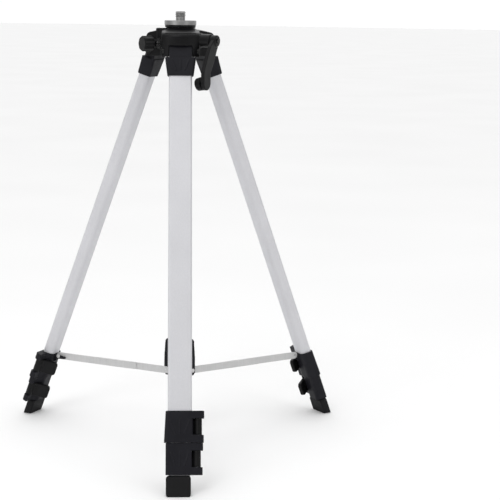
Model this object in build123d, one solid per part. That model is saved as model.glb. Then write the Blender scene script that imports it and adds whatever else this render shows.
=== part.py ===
"""Elevating tripod with a 5/8-11 instrument stud, legs spread and telescopic sections closed.

Units are millimetres. The origin is on the floor under the column, +Z is up, and the front leg
points to -Y. Three small frames keep the code short, and each has a placing function:
  around(shape, azimuth)    X radially outward, Y sideways, Z up, turned about the column
  on_leg(shape, azimuth)    origin on the leg's pivot bolt, X out of the leg's outer face,
                            Y across the leg towards its clamp levers, Z up along the leg
"""
from build123d import *
import math
import os

# Instrument stud and disc, and the column under them
DISC_TOP = 650.0
DISC_R = 24.0
DISC_T = 7.0
STUD_R = 15.875 / 2
STUD_HEIGHT = 13.5
NECK_R = 6.9
NECK_HEIGHT = 5.0
COLUMN_R = 10.0
COLUMN_WALL = 4.5
COLUMN_LENGTH = 360.0
COLLAR_R = 23.2
COLLAR_T = 3.6

# Rack and pinion
MODULE = 0.8
PINION_TEETH = 15
RACK_PITCH_LINE = 8.0
COLUMN_TRAVEL = 260.0
BACKLASH = 0.12
PRESSURE_ANGLE = 20.0

# Head
HEAD_R = 51.5
HEAD_TOP = 638.5
HEAD_BOTTOM = 597.0
LOBE_HALF_WIDTH = 28.0
SLOT_HALF_WIDTH = 17.3
SLOT_INNER = 29.0
SLOT_TOP = 613.8
BUSH_R = 13.0
LEG_AZIMUTHS = {"front": 270.0, "left": 150.0, "right": 30.0}

# Crank, in the frame around(shape, CRANK_AZIMUTH)
CRANK_AZIMUTH = 330.0
CRANK_Z = 621.0
CRANK_SHAFT_R = 4.0
CRANK_BOSS_R = 10.0
CRANK_BOSS_END = 61.5
CRANK_ARM_IN = 64.5
CRANK_ARM_T = 5.5
CRANK_HUB_R = 8.6
CRANK_DROP = 61.0
CRANK_SWING = 28.0
CRANK_END_R = 10.6
CRANK_KNOB_R = 10.0
CRANK_KNOB_LENGTH = 9.8
CRANK_KNOB_TILT = 14.0

# Column lock, in the frame around(shape, LOCK_AZIMUTH)
LOCK_AZIMUTH = 210.0
LOCK_Z = 615.6
LOCK_SCREW_R = 3.0
LOCK_KNOB_START = 44.5
LOCK_KNOB_LENGTH = 22.0
LOCK_KNOB_R = 11.5

# Bubble level
LEVEL_X = -28.4
LEVEL_Y = -8.0
LEVEL_TOP = 638.6
LEVEL_R = 7.4

# Legs
PIVOT_RADIUS = 40.5
PIVOT_Z = 605.0
LEG_ANGLE = 21.66
BOLT_R = 3.0
TUBE_W = 38.4
TUBE_T = 15.8
TUBE_INNER_W = 21.0
TUBE_WALL = 1.2
TUBE_GAP = 0.4
PADDLE_END = 31.0
PADDLE_T = 5.8
PADDLE_SLANT = 30.0
BRACKET_BOTTOM = -40.5
TUBE_TOP = -22.0
UPPER_COLLAR_TOP = -533.6
COLLAR_HEIGHT = 44.4
LOWER_COLLAR_TOP = -578.4
FOOT_TOP = -623.4
FOOT_W = 35.0
FOOT_SHIFT = -1.8
FOOT_T = 13.0

# Brace: struts, sliding hub and the tube it slides on
STRUT_LUG_X = -15.8
STRUT_LUG_Z = 103.0
HUB_R = 16.5
HUB_PIVOT_R = 22.6
HUB_PIVOT_Z = 104.5
STRUT_HALF_HEIGHT = 5.6
STRUT_BAR_T = 1.4
STRUT_INNER_LENGTH = 132.0
STRUT_OUTER_LENGTH = 146.0
STRUT_FEATHER = 30.0
CENTRE_TUBE_R = 14.0
CENTRE_TUBE_WALL = 1.7
CENTRE_TUBE_BOTTOM = 92.0
HUB_BOTTOM = 96.0
HUB_TOP = 157.0
RIVET_R = 2.0
FIT = 0.05

os.makedirs("parts", exist_ok=True)
PINION_R = MODULE * PINION_TEETH / 2
KNOB_STANDOFF = 2.9
CRANK_Y = -(RACK_PITCH_LINE + PINION_R)
LEG_TILT = math.radians(LEG_ANGLE)


def around(shape, azimuth):
    return Rot(0, 0, azimuth) * shape


def on_leg(shape, azimuth):
    return Rot(0, 0, azimuth) * Pos(PIVOT_RADIUS, 0, PIVOT_Z) * Rot(0, -LEG_ANGLE, 0) * shape


def rod(radius, start, end, x=0.0, y=0.0):
    """Upright cylinder between two heights."""
    return Pos(x, y, (start + end) / 2) * Cylinder(radius, end - start)


def rod_x(radius, start, end, y=0.0, z=0.0):
    """Cylinder along X between two stations."""
    return Pos((start + end) / 2, y, z) * Rot(0, 90, 0) * Cylinder(radius, end - start)


def rod_y(radius, start, end, x=0.0, z=0.0):
    """Cylinder along Y between two stations."""
    return Pos(x, (start + end) / 2, z) * Rot(90, 0, 0) * Cylinder(radius, end - start)


def block(low, high):
    """Box between two corners."""
    size = [b - a for a, b in zip(low, high)]
    middle = [(a + b) / 2 for a, b in zip(low, high)]
    return Pos(*middle) * Box(*size)


def plate_xz(points, y_start, y_end):
    """Flat plate with an outline in X and Z, from one Y to another."""
    outline = make_face(Polyline(*[(x, y_end, z) for x, z in points], close=True))
    return extrude(outline, amount=y_end - y_start, dir=(0, -1, 0))


def save(shape, name):
    export_step(shape, "parts/" + name + ".step")


# ---------------------------------------------------------------- column and instrument stud

def instrument_adapter():
    """Turned disc and stud in one piece: plain neck, major diameter above it, blind hole on top."""
    disc = chamfer(rod(DISC_R, DISC_TOP - DISC_T, DISC_TOP).edges(), 0.5)
    neck = rod(NECK_R, DISC_TOP, DISC_TOP + NECK_HEIGHT)
    stud = rod(STUD_R, DISC_TOP + NECK_HEIGHT, DISC_TOP + STUD_HEIGHT)
    stud = chamfer(stud.edges().sort_by(Axis.Z)[-1], 0.8)
    spigot = rod(COLUMN_R - COLUMN_WALL, DISC_TOP - DISC_T - 15, DISC_TOP - DISC_T)
    hole = rod(4.0, DISC_TOP + STUD_HEIGHT - 8, DISC_TOP + STUD_HEIGHT)
    return disc + neck + stud + spigot - hole


def geared_column():
    """Drawn tube with a toothed flat on the side that faces the pinion."""
    top = DISC_TOP - DISC_T
    column = rod(COLUMN_R, top - COLUMN_LENGTH, top) - rod(COLUMN_R - COLUMN_WALL, top - COLUMN_LENGTH, top)
    tip = RACK_PITCH_LINE + 0.75 * MODULE
    root = RACK_PITCH_LINE - 1.1 * MODULE
    pitch = math.pi * MODULE
    low = CRANK_Z - COLUMN_TRAVEL - 4 * pitch
    column -= block((-COLUMN_R, -COLUMN_R - 1, low), (COLUMN_R, -tip, CRANK_Z + 4 * pitch))
    slope = math.tan(math.radians(PRESSURE_ANGLE))
    half = (pitch / 2 + BACKLASH) / 2
    at_tip = half + (tip + 0.2 - RACK_PITCH_LINE) * slope
    at_root = half - (RACK_PITCH_LINE - root) * slope
    gap_outline = Polyline(
        (-COLUMN_R, -tip - 0.2, -at_tip),
        (-COLUMN_R, -root, -at_root),
        (-COLUMN_R, -root, at_root),
        (-COLUMN_R, -tip - 0.2, at_tip),
        close=True,
    )
    gap = extrude(make_face(gap_outline), amount=2 * COLUMN_R, dir=(1, 0, 0))
    count = int(COLUMN_TRAVEL / pitch) + 7
    gaps = [Pos(0, 0, CRANK_Z + (3 - i) * pitch) * gap for i in range(count)]
    return column - gaps


def column_collar():
    """Plastic stop ring clamped under the disc."""
    top = DISC_TOP - DISC_T
    ring = rod(COLLAR_R, top - COLLAR_T, top) - rod(COLUMN_R, top - COLLAR_T, top)
    return fillet(ring.edges().group_by(Axis.Z)[0].sort_by(SortBy.RADIUS)[-1], 1.2)


# ---------------------------------------------------------------- head

def head_outline():
    """Three lobes in plan, one over each leg, with rounded valleys between them."""
    lobes = Sketch()
    for azimuth in LEG_AZIMUTHS.values():
        lobes += Rot(0, 0, azimuth) * Pos(30, 0) * Rectangle(60, 2 * LOBE_HALF_WIDTH)
    valleys = lobes.vertices().filter_by(lambda v: math.hypot(v.X, v.Y) < 35)
    return fillet(valleys, 9)


def head_profile():
    """Half section of the head: low ring on top, gently sloping dome, rounded rim, upright wall."""
    ring = (22.6, 0, HEAD_TOP)
    dome_top = (24.0, 0, 637.1)
    dome_end = (44.0, 0, 632.9)
    wall_top = (HEAD_R, 0, 624.8)
    edge = [
        Line((0, 0, HEAD_BOTTOM), (0, 0, HEAD_TOP)),
        Line((0, 0, HEAD_TOP), ring),
        Line(ring, dome_top),
        ThreePointArc(dome_top, (34.5, 0, 635.2), dome_end),
        ThreePointArc(dome_end, (49.6, 0, 630.1), wall_top),
        Line(wall_top, (HEAD_R, 0, HEAD_BOTTOM)),
        Line((HEAD_R, 0, HEAD_BOTTOM), (0, 0, HEAD_BOTTOM)),
    ]
    return make_face(edge)


def crank_bore():
    """Round way for the crank shaft, opening into the pinion's pocket."""
    way = rod_x(CRANK_SHAFT_R + FIT, -2, CRANK_BOSS_END + 1, CRANK_Y, CRANK_Z)
    way += rod_x(PINION_R + 1.4, -1.7, 5.2, CRANK_Y, CRANK_Z)
    return around(way, CRANK_AZIMUTH)


def lock_bore():
    return around(rod_x(LOCK_SCREW_R + FIT, 5, 40, 0, LOCK_Z), LOCK_AZIMUTH)


def head_shell():
    """Moulded head: leg clevises, crank boss, lock boss, level boss and the column bore."""
    prism = extrude(Pos(0, 0, HEAD_BOTTOM) * head_outline(), amount=HEAD_TOP - HEAD_BOTTOM + 1)
    shell = prism & revolve(head_profile(), Axis.Z)
    crank_boss = rod_x(CRANK_BOSS_R, 26, CRANK_BOSS_END, CRANK_Y, CRANK_Z)
    crank_boss = chamfer(crank_boss.edges().sort_by(Axis.X)[-1], 1.0)
    crank_boss += rod_x(CRANK_BOSS_R + 1.2, 26, 44, CRANK_Y, CRANK_Z)
    shell += around(crank_boss, CRANK_AZIMUTH)
    shell += around(rod_x(8.0, 26, 38.5, 0, LOCK_Z), LOCK_AZIMUTH)
    shell += rod(LEVEL_R + 0.9, 618, LEVEL_TOP - 0.6, LEVEL_X, LEVEL_Y)
    lip = Pos(0, 0, 631.0) * Torus(48.0, 0.9)
    for azimuth in LEG_AZIMUTHS.values():
        lip_span = around(block((30, -23, 620), (60, 23, 640)), azimuth)
        shell -= lip & lip_span
        slot = block((SLOT_INNER, -SLOT_HALF_WIDTH, HEAD_BOTTOM - 1), (HEAD_R + 5, SLOT_HALF_WIDTH, SLOT_TOP))
        shell -= around(slot, azimuth)
        shell -= around(rod_y(BOLT_R, -30, 30, PIVOT_RADIUS, PIVOT_Z), azimuth)
        shell -= around(rod_y(5.2, 24.6, 32, PIVOT_RADIUS, PIVOT_Z), azimuth)
        shell -= around(rod_y(5.2, -32, -24.6, PIVOT_RADIUS, PIVOT_Z), azimuth)
    shell -= crank_bore()
    shell -= lock_bore()
    shell -= rod(LEVEL_R, LEVEL_TOP - 9, LEVEL_TOP + 1, LEVEL_X, LEVEL_Y)
    return shell - rod(BUSH_R, HEAD_BOTTOM - 1, HEAD_TOP + 1) - rod(CENTRE_TUBE_R, HEAD_BOTTOM - 1, 604)


def guide_bush():
    """Plastic bush that the column runs in, with a low ring on top of the head."""
    bush = rod(BUSH_R, 604, HEAD_TOP) + rod(21.9, HEAD_TOP, HEAD_TOP + 0.6)
    bush -= rod(COLUMN_R + FIT, 600, HEAD_TOP + 1)
    return bush - crank_bore() - lock_bore()


def leg_pivot_bolts():
    """A bolt with a round head and a nut through each clevis."""
    bolt = rod_y(BOLT_R, -24.6, 24.6, PIVOT_RADIUS, PIVOT_Z)
    bolt += rod_y(5.0, 24.6, 27.4, PIVOT_RADIUS, PIVOT_Z)
    bolt += rod_y(5.0, -27.4, -24.6, PIVOT_RADIUS, PIVOT_Z)
    return Compound([around(bolt, azimuth) for azimuth in LEG_AZIMUTHS.values()])


def level_cup():
    cup = rod(LEVEL_R, LEVEL_TOP - 9, LEVEL_TOP, LEVEL_X, LEVEL_Y)
    return cup - rod(LEVEL_R - 0.9, LEVEL_TOP - 7.5, LEVEL_TOP + 1, LEVEL_X, LEVEL_Y)


def level_fluid():
    return rod(LEVEL_R - 0.9, LEVEL_TOP - 7.5, LEVEL_TOP - 2.2, LEVEL_X, LEVEL_Y)


def level_lens():
    lens = rod(LEVEL_R - 0.9, LEVEL_TOP - 2.2, LEVEL_TOP + 0.2, LEVEL_X, LEVEL_Y)
    return fillet(lens.edges().sort_by(Axis.Z)[-1], 0.5)


# ---------------------------------------------------------------- crank

def pinion_outline():
    """Involute teeth in the Y-Z plane, one tooth centred on +Y."""
    angle = math.radians(PRESSURE_ANGLE)
    base = PINION_R * math.cos(angle)
    root = PINION_R - 1.15 * MODULE
    tip = PINION_R + 0.8 * MODULE
    half = math.pi / (2 * PINION_TEETH) - BACKLASH / (2 * PINION_R)
    flank = []
    for i in range(5):
        radius = base + (tip - base) * i / 4
        roll = math.acos(base / radius)
        flank.append((radius, half + math.tan(angle) - angle - math.tan(roll) + roll))
    side = [(root, flank[0][1])] + flank
    points = []
    for tooth in range(PINION_TEETH):
        middle = math.pi / 2 + 2 * math.pi * tooth / PINION_TEETH
        tooth_side = [(r, middle - a) for r, a in side] + [(r, middle + a) for r, a in reversed(side)]
        points += [(0, r * math.cos(t), r * math.sin(t)) for r, t in tooth_side]
    return make_face(Polyline(*points, close=True))


def crank_shaft():
    """Shaft with the pinion cut on its inner end and a square-shouldered outer end."""
    pinion = Pos(-1, CRANK_Y, CRANK_Z) * Rot(-90, 0, 0) * pinion_outline()
    shaft = extrude(pinion, amount=5.5, dir=(1, 0, 0))
    shaft += rod_x(CRANK_SHAFT_R, 4.5, CRANK_ARM_IN + CRANK_ARM_T, CRANK_Y, CRANK_Z)
    return around(shaft, CRANK_AZIMUTH)


def crank_end():
    """Y and Z of the crank's grip, in the crank's frame."""
    return CRANK_Y - CRANK_SWING, CRANK_Z - CRANK_DROP


def crank_arm():
    """Moulded arm: a round hub and a broad cranked blade whose round end carries the grip."""
    end_y, end_z = crank_end()
    outer = CRANK_ARM_IN + CRANK_ARM_T
    hub = rod_x(CRANK_HUB_R, CRANK_BOSS_END + 0.4, outer + 1.5, CRANK_Y, CRANK_Z)
    hub = fillet(hub.edges().sort_by(Axis.X)[-1], 1.5)
    blade_outline = Polyline(
        (CRANK_ARM_IN, CRANK_Y + 6.5, CRANK_Z - 5),
        (CRANK_ARM_IN, CRANK_Y - 2.7, CRANK_Z - 22),
        (CRANK_ARM_IN, CRANK_Y - 10, CRANK_Z - 35),
        (CRANK_ARM_IN, end_y + CRANK_END_R, CRANK_Z - 46),
        (CRANK_ARM_IN, end_y + CRANK_END_R, end_z),
        (CRANK_ARM_IN, end_y - CRANK_END_R, end_z),
        (CRANK_ARM_IN, end_y - CRANK_END_R, CRANK_Z - 44),
        (CRANK_ARM_IN, CRANK_Y - 27.5, CRANK_Z - 22),
        (CRANK_ARM_IN, CRANK_Y - 19, CRANK_Z - 8),
        (CRANK_ARM_IN, CRANK_Y - 7, CRANK_Z + 3),
        close=True,
    )
    blade = extrude(make_face(blade_outline), amount=CRANK_ARM_T, dir=(1, 0, 0))
    blade += rod_x(CRANK_END_R, CRANK_ARM_IN, outer, end_y, end_z)
    arm = hub + fillet(blade.edges().group_by(Axis.X)[-1], 1.2)
    arm -= rod_x(CRANK_SHAFT_R, CRANK_BOSS_END, outer, CRANK_Y, CRANK_Z)
    arm -= grip_axis(Cylinder(2.0, 9))
    arm -= rod_x(2.0, outer - 1, outer + 3, CRANK_Y, CRANK_Z)
    return around(arm, CRANK_AZIMUTH)


def grip_axis(shape):
    """Place a shape made about Z on the grip's tilted axis, with +Z into the arm."""
    end_y, end_z = crank_end()
    return Pos(CRANK_ARM_IN, end_y, end_z) * Rot(0, 90 - CRANK_KNOB_TILT, 0) * shape


def crank_screw():
    """Screw that holds the arm on the shaft."""
    outer = CRANK_ARM_IN + CRANK_ARM_T
    screw = rod_x(2.0, outer, outer + 1.5, CRANK_Y, CRANK_Z)
    screw += rod_x(3.6, outer + 1.5, outer + 3.0, CRANK_Y, CRANK_Z)
    slot = block((outer + 2.2, CRANK_Y - 4, CRANK_Z - 0.5), (outer + 3.5, CRANK_Y + 4, CRANK_Z + 0.5))
    return around(screw - slot, CRANK_AZIMUTH)


def crank_knob_pin():
    """Pin that the grip spins on, with a head sunk in the grip's free end."""
    head_end = -KNOB_STANDOFF - CRANK_KNOB_LENGTH + 0.4
    pin = rod(2.0, head_end, 4.5) + rod(3.6, head_end, head_end + 1.2)
    return around(grip_axis(pin), CRANK_AZIMUTH)


def crank_knob():
    """Round grip that spins on its pin, folded in towards the legs."""
    end = -KNOB_STANDOFF - CRANK_KNOB_LENGTH
    grip = Pos(0, 0, (end - KNOB_STANDOFF) / 2) * Cone(CRANK_KNOB_R - 0.8, CRANK_KNOB_R, CRANK_KNOB_LENGTH)
    grip = fillet(grip.edges().group_by(Axis.Z)[0], 3.0)
    grip = fillet(grip.edges().group_by(Axis.Z)[-1], 1.0)
    grip -= rod(2.0 + FIT, end - 1, 0)
    grip -= rod(3.8, end - 1, end + 1.9)
    return around(grip_axis(grip), CRANK_AZIMUTH)


# ---------------------------------------------------------------- column lock

def lock_pad():
    """Soft pad at the screw's inner end, against the column."""
    return around(rod_x(LOCK_SCREW_R - 0.1, COLUMN_R + 0.3, 15.0, 0, LOCK_Z), LOCK_AZIMUTH)


def lock_screw():
    screw = rod_x(LOCK_SCREW_R, 15.0, LOCK_KNOB_START + 12, 0, LOCK_Z)
    return around(screw, LOCK_AZIMUTH)


def lock_knob():
    """Fluted hand knob with a collar on its inner side."""
    end = LOCK_KNOB_START + LOCK_KNOB_LENGTH
    knob = rod_x(LOCK_KNOB_R, LOCK_KNOB_START + 5, end, 0, LOCK_Z)
    knob = fillet(knob.edges(), 2.0)
    knob += rod_x(7.0, LOCK_KNOB_START, LOCK_KNOB_START + 6, 0, LOCK_Z)
    for i in range(8):
        turn = math.radians(45 * i + 22.5)
        flute_y = (LOCK_KNOB_R + 1.8) * math.cos(turn)
        flute_z = LOCK_Z + (LOCK_KNOB_R + 1.8) * math.sin(turn)
        knob -= rod_x(3.2, LOCK_KNOB_START + 4.9, end + 1, flute_y, flute_z)
    return around(knob - rod_x(LOCK_SCREW_R, LOCK_KNOB_START - 1, LOCK_KNOB_START + 12, 0, LOCK_Z), LOCK_AZIMUTH)


# ---------------------------------------------------------------- legs

def leg_section(inset):
    """Tube outline with a flat outer face and a rounded inner side, moved in by inset."""
    outline = make_face(
        Polyline(
            (TUBE_T / 2, -TUBE_W / 2),
            (TUBE_T / 2, TUBE_W / 2),
            (-TUBE_T / 2, TUBE_INNER_W / 2),
            (-TUBE_T / 2, -TUBE_INNER_W / 2),
            close=True,
        )
    )
    outline = fillet(outline.vertices().group_by(Axis.X)[-1], 3.0)
    outline = fillet(outline.vertices().group_by(Axis.X)[0], 9.0)
    return offset(outline, -inset) if inset else outline


def leg_sleeve(inset, wall, low, high):
    """Tube between two stations along the leg."""
    tube = extrude(Pos(0, 0, low) * leg_section(inset), amount=high - low)
    return tube - extrude(Pos(0, 0, low) * leg_section(inset + wall), amount=high - low)


def fan(face_x, top, length, spread_top, spread_bottom):
    """Three raised rays on the outer face, closer together at the bottom."""
    rays = []
    for side in (-1, 0, 1):
        slant = side * (spread_top - spread_bottom)
        angle = math.degrees(math.atan2(slant, length))
        middle_y = side * (spread_top + spread_bottom) / 2
        ray = Box(1.0, 1.7, length / math.cos(math.radians(angle)))
        rays.append(Pos(face_x, middle_y, top - length / 2) * Rot(-angle, 0, 0) * ray)
    return rays


def leg_bracket():
    """Moulded leg top: a tongue that turns in the head's clevis and a socket for the tube."""
    tongue = rod_y(8.2, -17, 17) + block((-8.2, -17, -16), (8.2, 17, 0))
    tongue += fillet(block((0, -17, -1), (8.2, 17, 5.6)).edges().filter_by(Axis.Y).sort_by(Axis.X)[-1], 0.6)
    shoulder = make_face(Polyline((10, -25.2), (10, 25.2), (-9.6, 15.5), (-9.6, -15.5), close=True))
    shoulder = fillet(shoulder.vertices(), 3.5)
    foot = make_face(Polyline((9.8, -21.2), (9.8, 21.2), (-9.6, 13.0), (-9.6, -13.0), close=True))
    foot = fillet(foot.vertices(), 3.5)
    socket = loft([Pos(0, 0, -12.2) * shoulder, Pos(0, 0, BRACKET_BOTTOM) * foot])
    bracket = tongue + socket
    bracket = bracket + fan(9.9, -16, 17, 12.8, 6.0)
    bracket -= extrude(Pos(0, 0, BRACKET_BOTTOM - 1) * leg_section(0), amount=TUBE_TOP - BRACKET_BOTTOM + 1)
    return bracket - rod_y(BOLT_R + FIT, -20, 20)


def lever_pin_place(inset):
    """X and Y of the clamp lever's pin on a collar around a tube with this inset."""
    return 3.6, TUBE_W / 2 - inset + 6.8


def clamp_collar(inset, top, side_top, side_low):
    """Clamp collar: a sleeve with a thick blind side and two ears that hold the lever's pin."""
    low = top - COLLAR_HEIGHT
    pin_x, pin_y = lever_pin_place(inset)
    inner = leg_section(inset)
    outer = offset(inner, 1.9)
    collar = extrude(Pos(0, 0, low) * outer, amount=COLLAR_HEIGHT)
    collar += loft([Pos(0, -side_low, low) * outer, Pos(0, -side_top, top) * outer])
    face_x = TUBE_T / 2 - inset + 1.9
    for ear_low, ear_high, reach in ((low, low + 10.8, 7.6), (top - 10.6, top, 8.3)):
        ear = make_face(
            Polyline(
                (face_x, pin_y - 12),
                (face_x, pin_y + reach - 3),
                (face_x - 3, pin_y + reach),
                (-1.0, pin_y + reach),
                (-1.0, pin_y - 4.0),
                (-5.0, pin_y - 12),
                close=True,
            )
        )
        collar += extrude(Pos(0, 0, ear_low) * ear, amount=ear_high - ear_low)
    collar += fan(face_x, top - 13, 19, 14.0 - inset, 6.5)
    collar -= extrude(Pos(0, 0, low - 1) * inner, amount=COLLAR_HEIGHT + 2)
    return collar - rod(1.6, low + 2, top - 2, pin_x, pin_y)


def strut_lug():
    """X and Z of the strut's rivet in the leg's frame."""
    lug_z = (STRUT_LUG_Z - PIVOT_Z - STRUT_LUG_X * math.sin(LEG_TILT)) / math.cos(LEG_TILT)
    return STRUT_LUG_X, lug_z


def upper_collar():
    """Upper clamp collar with the ear that the strut is riveted to."""
    lug_x, lug_z = strut_lug()
    ear = plate_xz(
        [(-8.6, UPPER_COLLAR_TOP), (lug_x - 12, lug_z + 3.5), (lug_x - 12, lug_z + 0.5),
         (lug_x - 1, lug_z - 5.0), (-8.6, lug_z - 16)],
        1.9, 4.9,
    )
    ear -= rod_y(RIVET_R, 0, 6, lug_x, lug_z)
    return clamp_collar(0, UPPER_COLLAR_TOP, 0.9, 3.2) + ear


def lever_pin(inset, top):
    pin_x, pin_y = lever_pin_place(inset)
    return rod(1.6, top - COLLAR_HEIGHT + 2, top - 2, pin_x, pin_y)


def upper_collar_pins():
    """The lever's pin and the strut's rivet."""
    lug_x, lug_z = strut_lug()
    rivet = rod_y(RIVET_R, 0.0, 5.3, lug_x, lug_z) + rod_y(3.2, 4.9, 6.0, lug_x, lug_z)
    return Compound([lever_pin(0, UPPER_COLLAR_TOP), rivet])


def clamp_lever(inset, top):
    """Clamp lever: a barrel on the pin and a paddle that lies over the leg's slanted side."""
    pin_x, pin_y = lever_pin_place(inset)
    low = top - COLLAR_HEIGHT + 11.1
    high = top - 10.9
    height = high - low
    paddle = Pos(-(PADDLE_END + 2) / 2, -2.5, 0) * Box(PADDLE_END - 2, PADDLE_T, height)
    paddle = fillet(paddle.edges().filter_by(Axis.Y).group_by(Axis.X)[0], 5.0)
    paddle = fillet(paddle.faces().sort_by(Axis.Y)[-1].edges(), 1.0)
    neck = Pos(-4, -1.2, 0) * Box(8, 5.4, height)
    lever = Cylinder(5.2, height) + neck + paddle - Cylinder(1.6 + FIT, height + 2)
    return Pos(pin_x, pin_y, (low + high) / 2) * Rot(0, 0, PADDLE_SLANT) * lever


def tube_step():
    return TUBE_WALL + TUBE_GAP


def foot(azimuth):
    """Moulded foot with round shoulders, and a sole cut level with the floor."""
    middle = (FOOT_TOP - 665) / 2
    body = Pos(0, FOOT_SHIFT, middle) * Box(FOOT_T, FOOT_W, FOOT_TOP + 665)
    body = fillet(body.edges().filter_by(Axis.X).group_by(Axis.Z)[-1], 4.5)
    body = fillet(body.faces().sort_by(Axis.X)[-1].edges(), 2.6)
    body = fillet(body.faces().sort_by(Axis.X)[0].edges(), 2.6)
    neck = offset(leg_section(2 * tube_step()), 0.6)
    body += extrude(Pos(0, 0, FOOT_TOP - 3) * neck, amount=3.3)
    body -= extrude(Pos(0, 0, FOOT_TOP - 18) * leg_section(2 * tube_step()), amount=20)
    half = FOOT_W / 2 + 0.2
    above_floor = block((200, FOOT_SHIFT - half, 0), (400, FOOT_SHIFT + half, 60))
    above_floor = fillet(above_floor.edges().filter_by(Axis.X).group_by(Axis.Z)[0], 4.0)
    return around(on_leg(body, 0) & above_floor, azimuth)


# ---------------------------------------------------------------- brace

def strut_bar(pivot_is_hub):
    """Half of a strut: a flat bar from its rivet along the line between the two rivets."""
    lug_r = PIVOT_RADIUS + (PIVOT_Z - STRUT_LUG_Z) * math.tan(LEG_TILT) + STRUT_LUG_X / math.cos(LEG_TILT)
    start = (HUB_PIVOT_R, HUB_PIVOT_Z) if pivot_is_hub else (lug_r, STRUT_LUG_Z)
    goal = (lug_r, STRUT_LUG_Z) if pivot_is_hub else (HUB_PIVOT_R, HUB_PIVOT_Z)
    slope = math.degrees(math.atan2(goal[1] - start[1], goal[0] - start[0]))
    length = STRUT_INNER_LENGTH if pivot_is_hub else STRUT_OUTER_LENGTH
    y_low = -0.2 - STRUT_BAR_T if pivot_is_hub else 0.2
    body = Pos(length / 2, y_low + STRUT_BAR_T / 2, 0) * Box(length, STRUT_BAR_T, 2 * STRUT_HALF_HEIGHT)
    body += rod_y(STRUT_HALF_HEIGHT, y_low, y_low + STRUT_BAR_T)
    body = fillet(body.edges().filter_by(Axis.Y).sort_by(Axis.X)[-2:], 4.0)
    body -= rod_y(RIVET_R + FIT, y_low - 1, y_low + 3)
    face = y_low if pivot_is_hub else y_low + STRUT_BAR_T
    thin = face + 0.8 * STRUT_BAR_T * (1 if pivot_is_hub else -1)
    wedge = Polyline(
        (length - STRUT_FEATHER, face, -8),
        (length + 1, thin, -8),
        (length + 1, face, -8),
        close=True,
    )
    body -= extrude(make_face(wedge), amount=16, dir=(0, 0, 1))
    return Pos(start[0], 0, start[1]) * Rot(0, -slope, 0) * body


def brace_hub():
    """Sliding hub: a sleeve with a tall fin for each strut."""
    hub = rod(HUB_R, HUB_BOTTOM, HUB_TOP)
    hub = fillet(hub.edges().sort_by(Axis.Z)[-1], 1.5)
    outline = [
        (15, HUB_BOTTOM), (HUB_PIVOT_R + 2, HUB_BOTTOM + 0.5), (HUB_PIVOT_R + 4.6, HUB_PIVOT_Z - 4),
        (HUB_PIVOT_R + 4.6, HUB_PIVOT_Z + 20), (25.2, HUB_TOP - 5), (23, HUB_TOP - 2), (15, HUB_TOP - 2),
    ]
    for azimuth in LEG_AZIMUTHS.values():
        hub += around(plate_xz(outline, -5.4, -1.9), azimuth)
        hub -= around(rod_y(RIVET_R, -6, 0, HUB_PIVOT_R, HUB_PIVOT_Z), azimuth)
    return hub - rod(CENTRE_TUBE_R + FIT, HUB_BOTTOM - 1, HUB_TOP + 1)


def hub_rivets():
    rivet = rod_y(RIVET_R, -5.8, -0.1, HUB_PIVOT_R, HUB_PIVOT_Z)
    rivet += rod_y(3.2, -6.4, -5.4, HUB_PIVOT_R, HUB_PIVOT_Z)
    return Compound([around(rivet, azimuth) for azimuth in LEG_AZIMUTHS.values()])


def centre_tube():
    tube = rod(CENTRE_TUBE_R, CENTRE_TUBE_BOTTOM, 604)
    return tube - rod(CENTRE_TUBE_R - CENTRE_TUBE_WALL, CENTRE_TUBE_BOTTOM, 604)


def centre_tube_plug():
    """End plug; its flange is the hub's lower stop."""
    plug = rod(CENTRE_TUBE_R - CENTRE_TUBE_WALL, CENTRE_TUBE_BOTTOM, CENTRE_TUBE_BOTTOM + 14)
    flange = fillet(rod(16.5, CENTRE_TUBE_BOTTOM - 4, CENTRE_TUBE_BOTTOM).edges(), 1.0)
    return plug + flange


# ---------------------------------------------------------------- write every piece

def build_head_and_column():
    save(head_shell(), "head_shell")
    save(guide_bush(), "guide_bush")
    save(leg_pivot_bolts(), "leg_pivot_bolts")
    save(level_cup(), "level_cup")
    save(level_fluid(), "level_fluid")
    save(level_lens(), "level_lens")
    save(centre_tube(), "centre_tube")
    save(centre_tube_plug(), "centre_tube_plug")
    save(around(geared_column(), CRANK_AZIMUTH), "geared_column")
    save(column_collar(), "column_collar")
    save(instrument_adapter(), "instrument_adapter")


def build_controls():
    save(crank_shaft(), "crank_shaft")
    save(crank_arm(), "crank_arm")
    save(crank_screw(), "crank_screw")
    save(crank_knob_pin(), "crank_knob_pin")
    save(crank_knob(), "crank_knob")
    save(lock_pad(), "lock_pad")
    save(lock_screw(), "lock_screw")
    save(lock_knob(), "lock_knob")


def build_leg(side, azimuth):
    step = tube_step()
    local_pieces = {
        "leg_bracket": leg_bracket(),
        "upper_tube": leg_sleeve(0, TUBE_WALL, UPPER_COLLAR_TOP - 12, TUBE_TOP),
        "upper_collar": upper_collar(),
        "upper_collar_pins": upper_collar_pins(),
        "upper_lever": clamp_lever(0, UPPER_COLLAR_TOP),
        "middle_tube": leg_sleeve(step, TUBE_WALL, LOWER_COLLAR_TOP - 12, -75),
        "lower_collar": clamp_collar(step, LOWER_COLLAR_TOP, 2.4, 2.4),
        "lower_lever_pin": lever_pin(step, LOWER_COLLAR_TOP),
        "lower_lever": clamp_lever(step, LOWER_COLLAR_TOP),
        "lower_tube": leg_sleeve(2 * step, TUBE_WALL, FOOT_TOP - 18, -95),
    }
    for name, shape in local_pieces.items():
        save(on_leg(shape, azimuth), name + "_" + side)
    save(foot(azimuth), "foot_" + side)
    save(around(strut_bar(True), azimuth), "strut_inner_" + side)
    save(around(strut_bar(False), azimuth), "strut_outer_" + side)


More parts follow.
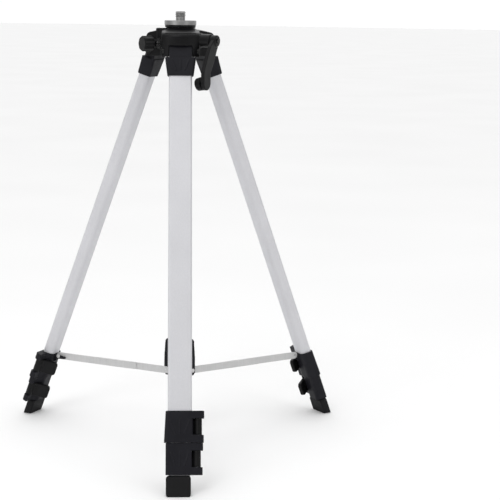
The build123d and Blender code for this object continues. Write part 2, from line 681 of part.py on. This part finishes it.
build_head_and_column()
build_controls()
save(brace_hub(), "brace_hub")
save(hub_rivets(), "hub_rivets")
for side, azimuth in LEG_AZIMUTHS.items():
    build_leg(side, azimuth)
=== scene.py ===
"""Elevating instrument tripod: materials, softened edges, a real screw thread and a plain studio."""
import math

import bpy
from mathutils import Matrix, Vector


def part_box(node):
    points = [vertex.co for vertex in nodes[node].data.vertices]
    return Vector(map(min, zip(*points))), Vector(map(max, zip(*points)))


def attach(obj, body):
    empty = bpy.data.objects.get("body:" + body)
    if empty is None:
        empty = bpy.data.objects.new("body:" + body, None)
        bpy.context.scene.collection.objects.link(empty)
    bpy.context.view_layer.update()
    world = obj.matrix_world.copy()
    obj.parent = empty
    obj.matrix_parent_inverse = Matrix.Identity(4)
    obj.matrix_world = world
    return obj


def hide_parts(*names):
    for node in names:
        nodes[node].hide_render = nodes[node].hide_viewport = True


MM = 0.001
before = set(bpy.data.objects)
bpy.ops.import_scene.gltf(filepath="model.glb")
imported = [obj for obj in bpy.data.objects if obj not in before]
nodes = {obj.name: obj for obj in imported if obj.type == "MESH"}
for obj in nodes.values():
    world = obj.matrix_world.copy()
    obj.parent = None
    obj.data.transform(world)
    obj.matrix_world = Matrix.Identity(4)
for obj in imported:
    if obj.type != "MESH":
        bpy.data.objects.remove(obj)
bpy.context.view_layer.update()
scene = bpy.context.scene
SIDES = {"front": 270.0, "left": 150.0, "right": 30.0}
LEG_TILT = math.radians(21.66)

# Studio: strengths of the surroundings, and the floor's size
DIM = 0.12
WHITE = 1.02
OVERHEAD = 1.15
FLOOR_R = 40.0
FLOOR_CORNERS = 96

# Camera, in millimetres and degrees
CAMERA_PLACE = (-20.2, -2191.0, 678.2)
CAMERA_PAN = -3.40
CAMERA_DOWN = 9.80
CAMERA_ROLL = 0.82
CAMERA_LENS = 103.2
SENSOR_WIDTH = 36.0

# Instrument screw: 5/8 inch - 11, and the disc below it, in millimetres
PITCH = 25.4 / 11
MAJOR_R = 7.9375
THREAD_DEPTH = 1.35
THREAD_LOW = 655.0
THREAD_HIGH = 662.7
NECK_R = 6.9
RUNOUT = 0.6
TURN_STEPS = 96
RINGS_PER_TURN = 18


# ------------------------------------------------------------------ materials

class Shader:
    """A Principled material, built node by node."""

    def __init__(self, name):
        self.material = bpy.data.materials.new(name)
        self.material.use_nodes = True
        self.tree = self.material.node_tree
        self.bsdf = self.tree.nodes["Principled BSDF"]
        self.place = self.node("ShaderNodeTexCoord").outputs["Object"]

    def node(self, kind, **settings):
        made = self.tree.nodes.new(kind)
        for key, value in settings.items():
            setattr(made, key, value)
        return made

    def link(self, a, b):
        self.tree.links.new(a, b)

    def mapped(self, rotation=(0, 0, 0), scale=(1, 1, 1)):
        """Object coordinates turned and stretched."""
        turn = self.node("ShaderNodeMapping")
        turn.inputs["Rotation"].default_value = rotation
        turn.inputs["Scale"].default_value = scale
        self.link(self.place, turn.inputs["Vector"])
        return turn.outputs["Vector"]

    def noise(self, vector, scale, detail=4.0, rough=0.6):
        made = self.node("ShaderNodeTexNoise")
        made.inputs["Scale"].default_value = scale
        made.inputs["Detail"].default_value = detail
        made.inputs["Roughness"].default_value = rough
        self.link(vector, made.inputs["Vector"])
        return made.outputs["Fac"]

    def ramp(self, value, stops):
        """Colours or greys at stops from 0 to 1."""
        made = self.node("ShaderNodeValToRGB")
        elements = made.color_ramp.elements
        while len(elements) < len(stops):
            elements.new(0.5)
        for element, (position, colour) in zip(elements, stops):
            element.position = position
            element.color = (*colour, 1) if isinstance(colour, tuple) else (colour, colour, colour, 1)
        self.link(value, made.inputs["Fac"])
        return made.outputs["Color"]

    def bump(self, height, distance, strength):
        made = self.node("ShaderNodeBump")
        made.inputs["Distance"].default_value = distance
        made.inputs["Strength"].default_value = strength
        self.link(height, made.inputs["Height"])
        return made.outputs["Normal"]

    def set(self, **values):
        for key, value in values.items():
            name = key.replace("_", " ")
            socket = self.bsdf.inputs[name]
            if isinstance(value, bpy.types.NodeSocket):
                self.link(value, socket)
            elif isinstance(value, tuple):
                socket.default_value = (*value, 1)
            else:
                socket.default_value = value
        return self.material


def moulded_plastic(name, dark, light, rough_low, rough_high, grain=0.00006, specular=0.16):
    """Black moulded plastic: faint clouding, fine spark-eroded grain and uneven gloss."""
    s = Shader(name)
    cloud = s.noise(s.place, 34)
    fine = s.noise(s.place, 2600, detail=2)
    colour = s.ramp(cloud, [(0.3, dark), (0.75, light)])
    gloss = s.ramp(s.noise(s.place, 90), [(0.3, rough_low), (0.8, rough_high)])
    relief = s.bump(fine, grain, 0.5)
    return s.set(Base_Color=colour, Roughness=gloss, Normal=relief, Specular_IOR_Level=specular)


def drawn_aluminium(name, axis_rotation, low, high, metallic, rough_low, rough_high):
    """Anodised drawn tube: hairline streaks along the tube."""
    s = Shader(name)
    along = s.mapped(axis_rotation, (1, 1, 0.015))
    streak = s.noise(along, 900, detail=3)
    cloud = s.noise(s.place, 16, detail=2)
    mix = s.node("ShaderNodeMix", data_type="FLOAT")
    mix.inputs["Factor"].default_value = 0.4
    s.link(streak, mix.inputs["A"])
    s.link(cloud, mix.inputs["B"])
    value = mix.outputs["Result"]
    colour = s.ramp(value, [(0.3, low), (0.7, high)])
    gloss = s.ramp(streak, [(0.25, rough_low), (0.75, rough_high)])
    return s.set(Base_Color=colour, Metallic=metallic, Roughness=gloss, Normal=s.bump(streak, 0.00002, 0.3))


def turned_metal(name):
    """Lathe-turned aluminium: fine rings about the column's axis and soft streaks across them."""
    s = Shader(name)
    split = s.node("ShaderNodeSeparateXYZ")
    s.link(s.place, split.inputs["Vector"])
    flat = s.node("ShaderNodeCombineXYZ")
    s.link(split.outputs["X"], flat.inputs["X"])
    s.link(split.outputs["Y"], flat.inputs["Y"])
    radius = s.node("ShaderNodeVectorMath", operation="LENGTH")
    s.link(flat.outputs["Vector"], radius.inputs[0])
    station = s.node("ShaderNodeMath", operation="ADD")
    s.link(radius.outputs["Value"], station.inputs[0])
    s.link(split.outputs["Z"], station.inputs[1])
    line = s.node("ShaderNodeCombineXYZ")
    s.link(station.outputs["Value"], line.inputs["X"])
    rings = s.noise(line.outputs["Vector"], 2200, detail=3)
    blotch = s.noise(s.place, 60, detail=4)
    colour = s.ramp(blotch, [(0.3, (0.27, 0.27, 0.27)), (0.7, (0.40, 0.40, 0.396))])
    gloss = s.ramp(rings, [(0.3, 0.34), (0.7, 0.50)])
    return s.set(Base_Color=colour, Metallic=0.9, Roughness=gloss, Normal=s.bump(rings, 0.00003, 0.5))


def zinc_plate(name, low, high, metallic):
    """Plated or blackened steel hardware with a slightly cloudy finish."""
    s = Shader(name)
    cloud = s.noise(s.place, 240)
    colour = s.ramp(cloud, [(0.3, low), (0.7, high)])
    gloss = s.ramp(cloud, [(0.3, 0.22), (0.7, 0.38)])
    return s.set(Base_Color=colour, Metallic=metallic, Roughness=gloss, Normal=s.bump(cloud, 0.00004, 0.3))


def vial_liquid(name):
    """Yellow-green liquid with its bubble and one dark centre ring, seen through the window."""
    s = Shader(name)
    low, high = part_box("level_fluid")
    centre = (low + high) / 2
    offset = s.node("ShaderNodeVectorMath", operation="SUBTRACT")
    s.link(s.place, offset.inputs[0])
    offset.inputs[1].default_value = centre
    flatten = s.node("ShaderNodeVectorMath", operation="MULTIPLY")
    s.link(offset.outputs["Vector"], flatten.inputs[0])
    flatten.inputs[1].default_value = (1, 1, 0)
    radius = s.node("ShaderNodeVectorMath", operation="LENGTH")
    s.link(flatten.outputs["Vector"], radius.inputs[0])
    share = s.node("ShaderNodeMath", operation="MULTIPLY")
    s.link(radius.outputs["Value"], share.inputs[0])
    share.inputs[1].default_value = 1 / ((high.x - low.x) / 2)
    pale, green, mark = (0.80, 0.86, 0.52), (0.62, 0.74, 0.26), (0.06, 0.08, 0.04)
    rings = s.ramp(share.outputs["Value"], [
        (0.0, pale), (0.30, pale), (0.33, mark), (0.38, mark), (0.41, green), (1.0, (0.50, 0.62, 0.20))])
    return s.set(Base_Color=rings, Roughness=0.12, IOR=1.4, Coat_Weight=0.6,
                 Normal=s.bump(s.noise(s.place, 500), 0.00002, 0.2))


def window(name):
    s = Shader(name)
    haze = s.ramp(s.noise(s.place, 500), [(0.3, 0.04), (0.7, 0.10)])
    return s.set(Base_Color=(0.93, 0.97, 0.88), Roughness=haze, IOR=1.49, Transmission_Weight=1.0)


def leg_rotation(azimuth):
    """Turns row coordinates into the leg's own, so that streaks run along it."""
    placed = Matrix.Rotation(math.radians(azimuth), 3, "Z") @ Matrix.Rotation(-LEG_TILT, 3, "Y")
    return placed.inverted().to_euler()


def paint(name, material):
    o = nodes.get(name) or bpy.data.objects[name]
    o.data.materials.clear()
    o.data.materials.append(material)


head_black = moulded_plastic("head_black", (0.004, 0.004, 0.0044), (0.008, 0.008, 0.0088), 0.30, 0.42)
leg_black = moulded_plastic("leg_black", (0.008, 0.008, 0.011), (0.012, 0.012, 0.016), 0.42, 0.56)
knob_black = moulded_plastic("knob_black", (0.004, 0.004, 0.0044), (0.008, 0.008, 0.0085), 0.36, 0.50)
foot_black = moulded_plastic(
    "foot_black", (0.007, 0.007, 0.0075), (0.011, 0.011, 0.012), 0.55, 0.70, grain=0.00012)
zinc = zinc_plate("zinc_plate", 0.46, 0.68, 1.0)
blackened = zinc_plate("blackened_steel", 0.010, 0.022, 0.6)
adapter_metal = turned_metal("turned_metal")
column_metal = drawn_aluminium("column_metal", (0, 0, 0), 0.50, 0.62, 0.9, 0.26, 0.38)
centre_metal = drawn_aluminium("centre_tube_metal", (0, 0, 0), 0.62, 0.72, 0.5, 0.34, 0.46)
strut_metal = drawn_aluminium("strut_metal", (0, 0, 0), 0.55, 0.66, 0.4, 0.40, 0.52)

TUBE_DARK = (0.63, 0.63, 0.655)
TUBE_LIGHT = (0.70, 0.70, 0.725)

for name in ("head_shell", "guide_bush", "level_cup", "centre_tube_plug", "column_collar"):
    paint(name, head_black)
for name in ("crank_shaft", "lock_screw", "hub_rivets"):
    paint(name, zinc)
for name in ("leg_pivot_bolts", "crank_screw", "crank_knob_pin"):
    paint(name, blackened)
for name in ("crank_arm", "crank_knob", "lock_pad", "lock_knob"):
    paint(name, knob_black)
paint("instrument_adapter", adapter_metal)
paint("geared_column", column_metal)
paint("centre_tube", centre_metal)
paint("brace_hub", leg_black)
paint("level_fluid", vial_liquid("vial_liquid"))
paint("level_lens", window("level_window"))
for side, azimuth in SIDES.items():
    along = leg_rotation(azimuth)
    tube_metal = drawn_aluminium("tube_metal_" + side, along, TUBE_DARK, TUBE_LIGHT, 0.25, 0.42, 0.54)
    for name in ("upper_tube_", "middle_tube_", "lower_tube_"):
        paint(name + side, tube_metal)
    for name in ("leg_bracket_", "upper_collar_", "lower_collar_"):
        paint(name + side, leg_black)
    for name in ("upper_lever_", "lower_lever_"):
        paint(name + side, knob_black)
    for name in ("upper_collar_pins_", "lower_lever_pin_"):
        paint(name + side, zinc)
    for name in ("strut_inner_", "strut_outer_"):
        paint(name + side, strut_metal)
    paint("foot_" + side, foot_black)


# ------------------------------------------------------------------ softened edges on the CAD nodes

def soften(name, voxel, rounds):
    """Round a moulded piece's edges with modifiers, without touching its own mesh."""
    o = nodes[name]
    skin = o.modifiers.new("skin", "REMESH")
    skin.mode = "VOXEL"
    skin.voxel_size = voxel * MM
    skin.use_smooth_shade = True
    relax = o.modifiers.new("relax", "SMOOTH")
    relax.factor = 0.5
    relax.iterations = rounds


# Voxel in millimetres and rounds of smoothing for each moulded piece
SOFT = {
    "head_shell": (0.6, 5),
    "brace_hub": (0.5, 3),
    "crank_arm": (0.4, 4),
    "crank_knob": (0.4, 3),
    "lock_knob": (0.4, 4),
}
for side in SIDES:
    SOFT["leg_bracket_" + side] = (0.4, 3)
    SOFT["upper_collar_" + side] = (0.4, 2)
    SOFT["lower_collar_" + side] = (0.4, 2)
    SOFT["upper_lever_" + side] = (0.4, 3)
    SOFT["lower_lever_" + side] = (0.4, 3)
    SOFT["foot_" + side] = (0.5, 4)
for name, (voxel, rounds) in SOFT.items():
    soften(name, voxel, rounds)


# ------------------------------------------------------------------ instrument screw with its thread

def thread_radius(height, angle):
    """Radius of a right-hand thread, with narrow flats at crest and root and a runout at each end."""
    phase = ((height - THREAD_LOW) / PITCH - angle / (2 * math.pi)) % 1.0
    wave = abs(2 * phase - 1)
    wave = min(max((wave - 0.10) / 0.78, 0.0), 1.0)
    runout = min((height - THREAD_LOW) / RUNOUT, 1.0)
    root = MAJOR_R - THREAD_DEPTH
    crest = root + THREAD_DEPTH * wave
    top_cone = MAJOR_R - max(0.0, height - (THREAD_HIGH - 0.3))
    return min(NECK_R + (crest - NECK_R) * runout, top_cone)


def adapter_rows():
    """Rings of (height, radius at each angle) from the spigot's end to the floor of the lathe hole."""
    spigot = [(628.0, 5.5), (643.0, 5.5)]
    disc = [(643.0, 23.5), (643.5, 24.0), (649.5, 24.0), (650.0, 23.5)]
    rows = spigot + disc + [(650.0, NECK_R), (654.9, NECK_R)]
    steps = int((THREAD_HIGH - THREAD_LOW) / (PITCH / RINGS_PER_TURN))
    for i in range(steps + 1):
        rows.append((THREAD_LOW + (THREAD_HIGH - THREAD_LOW) * i / steps, None))
    return rows + [(663.5, 6.6), (663.5, 4.0), (655.5, 4.0)]


def threaded_adapter():
    """Turned disc and instrument screw, with the 5/8 inch - 11 thread as real geometry."""
    rows = adapter_rows()
    verts = [(0, 0, rows[0][0] * MM)]
    for height, radius in rows:
        for i in range(TURN_STEPS):
            angle = 2 * math.pi * i / TURN_STEPS
            r = thread_radius(height, angle) if radius is None else radius
            verts.append((r * math.cos(angle) * MM, r * math.sin(angle) * MM, height * MM))
    verts.append((0, 0, rows[-1][0] * MM))
    faces = []
    for i in range(TURN_STEPS):
        after = (i + 1) % TURN_STEPS
        faces.append((0, 1 + after, 1 + i))
        last = 1 + (len(rows) - 1) * TURN_STEPS
        faces.append((len(verts) - 1, last + i, last + after))
        for ring in range(len(rows) - 1):
            a = 1 + ring * TURN_STEPS
            faces.append((a + i, a + after, a + TURN_STEPS + after, a + TURN_STEPS + i))
    mesh = bpy.data.meshes.new("threaded_adapter")
    mesh.from_pydata(verts, [], faces)
    for polygon in mesh.polygons:
        polygon.use_smooth = True
    mesh.set_sharp_from_angle(angle=math.radians(28))
    o = bpy.data.objects.new("threaded_adapter", mesh)
    scene.collection.objects.link(o)
    mesh.materials.append(adapter_metal)
    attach(o, "column")
    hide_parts("instrument_adapter")
    return o


threaded_adapter()


# ------------------------------------------------------------------ studio

def emission(name, colour, strength):
    material = bpy.data.materials.new(name)
    material.use_nodes = True
    tree = material.node_tree
    tree.nodes.clear()
    light = tree.nodes.new("ShaderNodeEmission")
    light.inputs["Color"].default_value = (*colour, 1)
    light.inputs["Strength"].default_value = strength
    out = tree.nodes.new("ShaderNodeOutputMaterial")
    tree.links.new(light.outputs["Emission"], out.inputs["Surface"])
    return material


def floor():
    """Large pale disc that runs out to the horizon."""
    corners = [2 * math.pi * i / FLOOR_CORNERS for i in range(FLOOR_CORNERS)]
    verts = [(FLOOR_R * math.cos(a), FLOOR_R * math.sin(a), 0) for a in corners]
    mesh = bpy.data.meshes.new("floor")
    mesh.from_pydata(verts, [], [tuple(range(FLOOR_CORNERS))])
    o = bpy.data.objects.new("floor", mesh)
    scene.collection.objects.link(o)
    s = Shader("floor_white")
    pale = s.ramp(s.noise(s.place, 1.5, detail=1), [(0.3, 0.90), (0.7, 0.92)])
    mesh.materials.append(s.set(Base_Color=pale, Roughness=0.9, Specular_IOR_Level=0.1))
    return o


def softbox(name, location, target, size, power):
    data = bpy.data.lights.new(name, "AREA")
    data.shape = "RECTANGLE"
    data.size, data.size_y = size
    data.energy = power
    o = bpy.data.objects.new(name, data)
    scene.collection.objects.link(o)
    o.location = location
    o.rotation_euler = (Vector(target) - Vector(location)).to_track_quat("-Z", "Y").to_euler()
    return o


def studio_world():
    """White behind the part and overhead, dim behind the camera and at the sides."""
    world = bpy.data.worlds.new("studio")
    world.use_nodes = True
    tree = world.node_tree
    place = tree.nodes.new("ShaderNodeTexCoord").outputs["Generated"]
    split = tree.nodes.new("ShaderNodeSeparateXYZ")
    tree.links.new(place, split.inputs["Vector"])
    total = tree.nodes.new("ShaderNodeMath")
    total.operation = "ADD"
    blends = (("Y", 0.1, 0.9, DIM, WHITE), ("Z", 0.15, 1.0, 0.0, OVERHEAD))
    for slot, (axis, start, end, low, high) in enumerate(blends):
        blend = tree.nodes.new("ShaderNodeMapRange")
        tree.links.new(split.outputs[axis], blend.inputs["Value"])
        for socket, value in (("From Min", start), ("From Max", end), ("To Min", low), ("To Max", high)):
            blend.inputs[socket].default_value = value
        tree.links.new(blend.outputs["Result"], total.inputs[slot])
    background = tree.nodes["Background"]
    background.inputs["Color"].default_value = (1, 1, 1, 1)
    tree.links.new(total.outputs["Value"], background.inputs["Strength"])
    scene.world = world


floor()
studio_world()
middle = Vector((0, 0, 0.33))
softbox("left_side", (-2.0, -2.4, 1.3), middle, (1.0, 1.6), 10)
softbox("right_side", (2.3, -2.2, 1.2), middle, (1.0, 1.6), 6)
softbox("key", (-0.9, -2.2, 2.9), middle, (1.2, 1.2), 16)
scene.view_settings.view_transform = "Standard"


# ------------------------------------------------------------------ camera

camera_data = bpy.data.cameras.new("camera")
camera_data.sensor_width = SENSOR_WIDTH
camera_data.lens = CAMERA_LENS
camera = bpy.data.objects.new("camera", camera_data)
scene.collection.objects.link(camera)
camera.location = Vector(CAMERA_PLACE) * MM
turn = Matrix.Rotation(math.radians(CAMERA_PAN), 3, "Z")
turn = turn @ Matrix.Rotation(math.radians(90 - CAMERA_DOWN), 3, "X")
turn = turn @ Matrix.Rotation(math.radians(CAMERA_ROLL), 3, "Z")
camera.rotation_euler = turn.to_euler()
camera_data.clip_end = 60
scene.camera = camera
